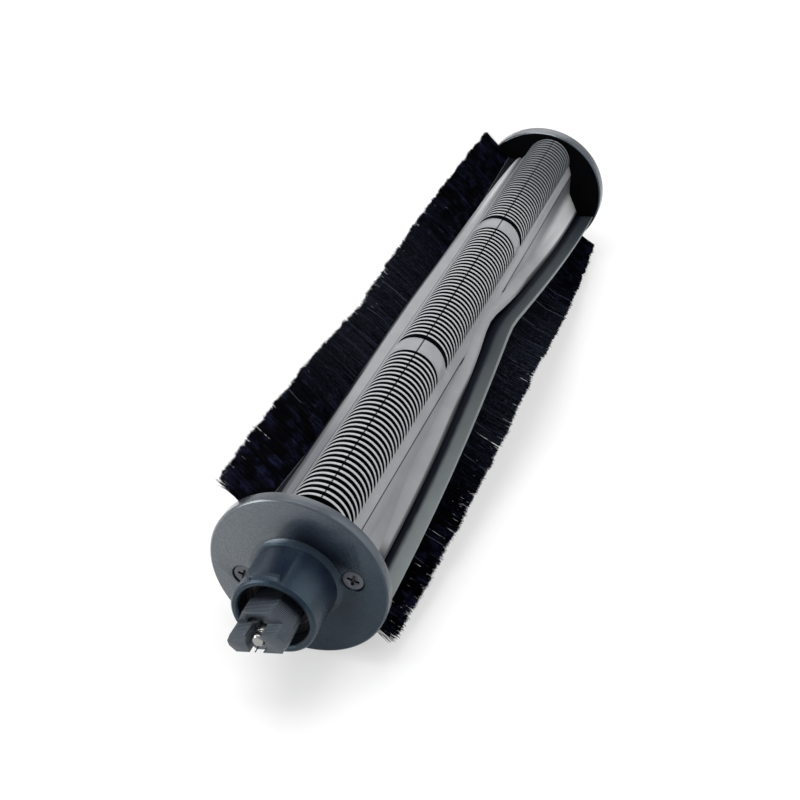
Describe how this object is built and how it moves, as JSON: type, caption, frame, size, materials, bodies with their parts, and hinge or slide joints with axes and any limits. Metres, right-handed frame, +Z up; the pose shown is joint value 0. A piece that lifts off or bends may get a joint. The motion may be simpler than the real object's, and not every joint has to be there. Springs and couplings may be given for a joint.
{
  "type": "robot vacuum roller brush",
  "caption": "Roller brush of a robot vacuum: ribbed core with V-shaped rubber blades and bristle strips between end discs, on a turning bearing block.",
  "frame": {"origin": "on the roller's axis, at the middle of the overall length", "axes": "+Y along the roller's axis from the bearing block to the drive peg, +Z up as it lies on its discs, +X to the right seen from the bearing block's end"},
  "size_m": [0.0456, 0.2076, 0.036],
  "materials": {
    "core_plastic": "satin moulded, dark grey",
    "carrier_plastic": "satin moulded, near black",
    "blade_rubber": "matt, grey green",
    "bristle_nylon": "dense black nylon fibres",
    "cap_plastic": "fine grained satin, slate",
    "block_plastic": "satin moulded, dark slate",
    "screw_steel": "blackened steel",
    "pin_steel": "bright steel",
    "bearing_steel": "ground steel",
    "cage_brass": "pressed strip"
  },
  "bodies": {
    "roller": {"core_half_right": "core_plastic", "strip_carrier_right": "carrier_plastic", "rubber_blade_right": "blade_rubber", "bristle_strip_right": "bristle_nylon", "core_half_left": "core_plastic", "strip_carrier_left": "carrier_plastic", "rubber_blade_left": "blade_rubber", "bristle_strip_left": "bristle_nylon", "idle_end_cap": "cap_plastic", "idle_cap_screws": "screw_steel", "drive_end_cap": "cap_plastic", "drive_cap_screws": "screw_steel", "bearing_outer_ring": "bearing_steel", "bearing_shields": "bearing_steel", "bearing_retaining_ring": "screw_steel"},
    "ball_cage": {"bearing_cage": "cage_brass", "bearing_balls": "bearing_steel"},
    "bearing_block": {"idle_bearing_block": "block_plastic", "axle_pin": "pin_steel", "axle_washer": "bearing_steel", "axle_clip": "bearing_steel", "bearing_inner_ring": "bearing_steel"}
  },
  "joints": [
    {"name": "bearing_block_spin", "type": "hinge", "parent": "roller", "child": "bearing_block", "pos_m": [0, -0.09688, 0], "axis": [0, 1, 0], "continuous": true},
    {"name": "ball_cage_spin", "type": "hinge", "parent": "roller", "child": "ball_cage", "pos_m": [0, -0.09688, 0], "axis": [0, 1, 0], "continuous": true}
  ],
  "couplings": [
    {"joint": "ball_cage_spin", "follows": "bearing_block_spin", "ratio": 0.3883}
  ]
}
